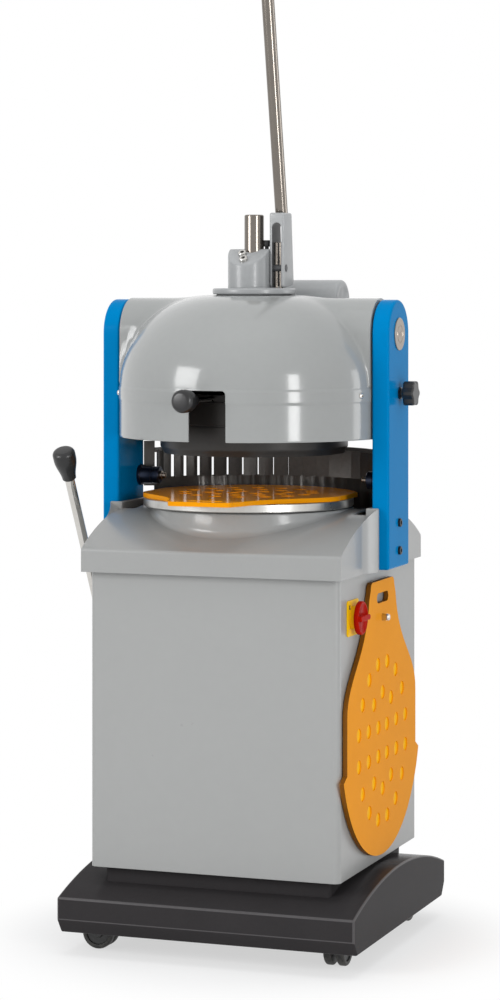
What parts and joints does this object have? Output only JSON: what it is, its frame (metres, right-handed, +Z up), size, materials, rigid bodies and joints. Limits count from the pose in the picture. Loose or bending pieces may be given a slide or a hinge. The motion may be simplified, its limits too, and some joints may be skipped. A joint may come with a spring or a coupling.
{
  "type": "dough divider rounder",
  "caption": "Bakery dough divider rounder on castors: cabinet, orbiting table with moulding plate, and a tilting domed press head worked by a long hand lever.",
  "frame": {"origin": "on the floor, under the axis of the press head", "axes": "+Z up, +X to the operator's right, -Y towards the operator"},
  "size_m": [0.6926, 0.6599, 2.085],
  "materials": {
    "base_black": "semi-gloss",
    "cabinet_grey": "satin",
    "cover_grey": "semi-gloss",
    "column_blue": "gloss",
    "head_grey": "gloss",
    "cast_grey": "satin",
    "bed_steel": "satin",
    "steel": "brushed",
    "chrome": "polished",
    "alloy": "turned",
    "black_alloy": "anodised",
    "guard_dark": "semi-gloss",
    "grip_black": "gloss",
    "plate_orange": "gloss",
    "stamp_white": "satin",
    "rubber": "matte",
    "motor_grey": "satin",
    "switch_yellow": "gloss",
    "switch_red": "gloss",
    "screw_black": "black oxide"
  },
  "bodies": {
    "frame": {"base_shell": "base_black", "plinth": "base_black", "cabinet_shell": "cabinet_grey", "rear_panel": "cabinet_grey", "panel_screws": "steel", "cable_gland": "grip_black", "bed_plate": "bed_steel", "top_cover": "cover_grey", "left_column": "column_blue", "right_column": "column_blue", "column_screws": "screw_black", "pivot_pins": "steel", "rear_guard": "guard_dark", "column_buffers": "rubber", "motor": "motor_grey", "motor_bracket": "steel", "bearing_housing": "steel", "drive_belt": "rubber", "switch_plate": "switch_yellow", "hanger_peg": "chrome", "side_lever_bush": "steel"},
    "eccentric": {"eccentric_shaft": "steel", "driven_pulley": "bed_steel"},
    "motor_drive": {"motor_pulley": "bed_steel"},
    "idler_left": {"idler_crank_left": "steel"},
    "idler_right": {"idler_crank_right": "steel"},
    "table": {"table_disc": "alloy", "table_hub": "steel"},
    "plate": {"moulding_plate": "plate_orange"},
    "spare": {"spare_plate": "plate_orange"},
    "head": {"head_beam": "bed_steel", "head_block": "cast_grey", "dome_cover": "head_grey", "saddle_cover": "head_grey", "dome_screws": "steel", "spring_drum": "cast_grey", "lever_posts": "steel"},
    "press_lever": {"lever_socket": "cast_grey", "lever_tube": "steel", "lever_grip": "grip_black"},
    "ram": {"ram_rod": "steel", "press_carrier": "black_alloy", "pressing_ring": "black_alloy", "stamps": "stamp_white"},
    "knives": {"knife_grid": "steel"},
    "front_handle": {"selector_ring": "black_alloy", "front_handle_stem": "steel", "front_handle_grip": "grip_black"},
    "clamp_knob": {"star_knob": "grip_black"},
    "switch": {"switch_knob": "switch_red"},
    "side_lever": {"side_lever_rod": "chrome", "side_lever_grip": "grip_black"},
    "castor_fl": {"castor_fork_fl": "bed_steel"},
    "wheel_fl": {"castor_wheel_fl": "rubber"},
    "castor_fr": {"castor_fork_fr": "bed_steel"},
    "wheel_fr": {"castor_wheel_fr": "rubber"},
    "castor_rl": {"castor_fork_rl": "bed_steel"},
    "wheel_rl": {"castor_wheel_rl": "rubber"},
    "castor_rr": {"castor_fork_rr": "bed_steel"},
    "wheel_rr": {"castor_wheel_rr": "rubber"}
  },
  "joints": [
    {"name": "main_shaft_spin", "type": "hinge", "parent": "frame", "child": "eccentric", "pos_m": [0, 0, 0.8], "axis": [0, 0, 1], "continuous": true},
    {"name": "table_orbit", "type": "hinge", "parent": "eccentric", "child": "table", "pos_m": [-0.01195, -0.00105, 0.88], "axis": [0, 0, 1], "continuous": true},
    {"name": "left_idler_spin", "type": "hinge", "parent": "frame", "child": "idler_left", "pos_m": [-0.15, 0.04, 0.8], "axis": [0, 0, 1], "continuous": true},
    {"name": "right_idler_spin", "type": "hinge", "parent": "frame", "child": "idler_right", "pos_m": [0.15, 0.04, 0.8], "axis": [0, 0, 1], "continuous": true},
    {"name": "motor_spin", "type": "hinge", "parent": "frame", "child": "motor_drive", "pos_m": [0, 0.15, 0.74], "axis": [0, 0, 1], "continuous": true},
    {"name": "plate_draw", "type": "slide", "parent": "table", "child": "plate", "axis": [0, -1, 0], "range_m": [0, 0.45]},
    {"name": "spare_plate_lift_off", "type": "slide", "parent": "frame", "child": "spare", "axis": [1, 0, 0], "range_m": [0, 0.1]},
    {"name": "head_tilt", "type": "hinge", "parent": "frame", "child": "head", "pos_m": [0, 0.004, 1.233], "axis": [-1, 0, 0], "range_deg": [0, 75]},
    {"name": "lever_swing", "type": "hinge", "parent": "head", "child": "press_lever", "pos_m": [0.052, 0.004, 1.366], "axis": [1, 0, 0], "range_deg": [0, 75]},
    {"name": "ram_slide", "type": "slide", "parent": "head", "child": "ram", "axis": [0, 0, -1], "range_m": [0, 0.081], "stiffness_N_per_m": 9000, "springref_m": -0.08},
    {"name": "knife_slide", "type": "slide", "parent": "ram", "child": "knives", "axis": [0, 0, -1], "range_m": [0, 0.016], "stiffness_N_per_m": 6000, "springref_m": -0.03},
    {"name": "front_handle_turn", "type": "hinge", "parent": "ram", "child": "front_handle", "pos_m": [0, 0, 1.105], "axis": [0, 0, 1], "range_deg": [0, 11.4]},
    {"name": "clamp_knob_turn", "type": "hinge", "parent": "frame", "child": "clamp_knob", "pos_m": [0.33, 0.008, 1.114], "axis": [1, 0, 0], "continuous": true},
    {"name": "switch_turn", "type": "hinge", "parent": "frame", "child": "switch", "pos_m": [0.27, -0.16, 0.679], "axis": [1, 0, 0], "range_deg": [0, 90]},
    {"name": "side_lever_swing", "type": "hinge", "parent": "frame", "child": "side_lever", "pos_m": [-0.326, 0.015, 0.56], "axis": [-1, 0, 0], "range_deg": [0, 15]},
    {"name": "castor_fl_swivel", "type": "hinge", "parent": "frame", "child": "castor_fl", "pos_m": [-0.24, -0.196, 0.1], "axis": [0, 0, 1], "continuous": true},
    {"name": "wheel_fl_spin", "type": "hinge", "parent": "castor_fl", "child": "wheel_fl", "pos_m": [-0.256, -0.196, 0.033], "axis": [0, 1, 0], "continuous": true},
    {"name": "castor_fr_swivel", "type": "hinge", "parent": "frame", "child": "castor_fr", "pos_m": [0.24, -0.196, 0.1], "axis": [0, 0, 1], "continuous": true},
    {"name": "wheel_fr_spin", "type": "hinge", "parent": "castor_fr", "child": "wheel_fr", "pos_m": [0.24, -0.18, 0.033], "axis": [1, 0, 0], "continuous": true},
    {"name": "castor_rl_swivel", "type": "hinge", "parent": "frame", "child": "castor_rl", "pos_m": [-0.24, 0.228, 0.1], "axis": [0, 0, 1], "continuous": true},
    {"name": "wheel_rl_spin", "type": "hinge", "parent": "castor_rl", "child": "wheel_rl", "pos_m": [-0.24, 0.244, 0.033], "axis": [1, 0, 0], "continuous": true},
    {"name": "castor_rr_swivel", "type": "hinge", "parent": "frame", "child": "castor_rr", "pos_m": [0.24, 0.228, 0.1], "axis": [0, 0, 1], "continuous": true},
    {"name": "wheel_rr_spin", "type": "hinge", "parent": "castor_rr", "child": "wheel_rr", "pos_m": [0.24, 0.244, 0.033], "axis": [1, 0, 0], "continuous": true}
  ],
  "couplings": [
    {"joint": "table_orbit", "follows": "main_shaft_spin", "ratio": -1},
    {"joint": "left_idler_spin", "follows": "main_shaft_spin", "ratio": 1},
    {"joint": "right_idler_spin", "follows": "main_shaft_spin", "ratio": 1},
    {"joint": "motor_spin", "follows": "main_shaft_spin", "ratio": 2.6875},
    {"joint": "ram_slide", "follows": "lever_swing", "m_per_rad": 0.06187}
  ]
}
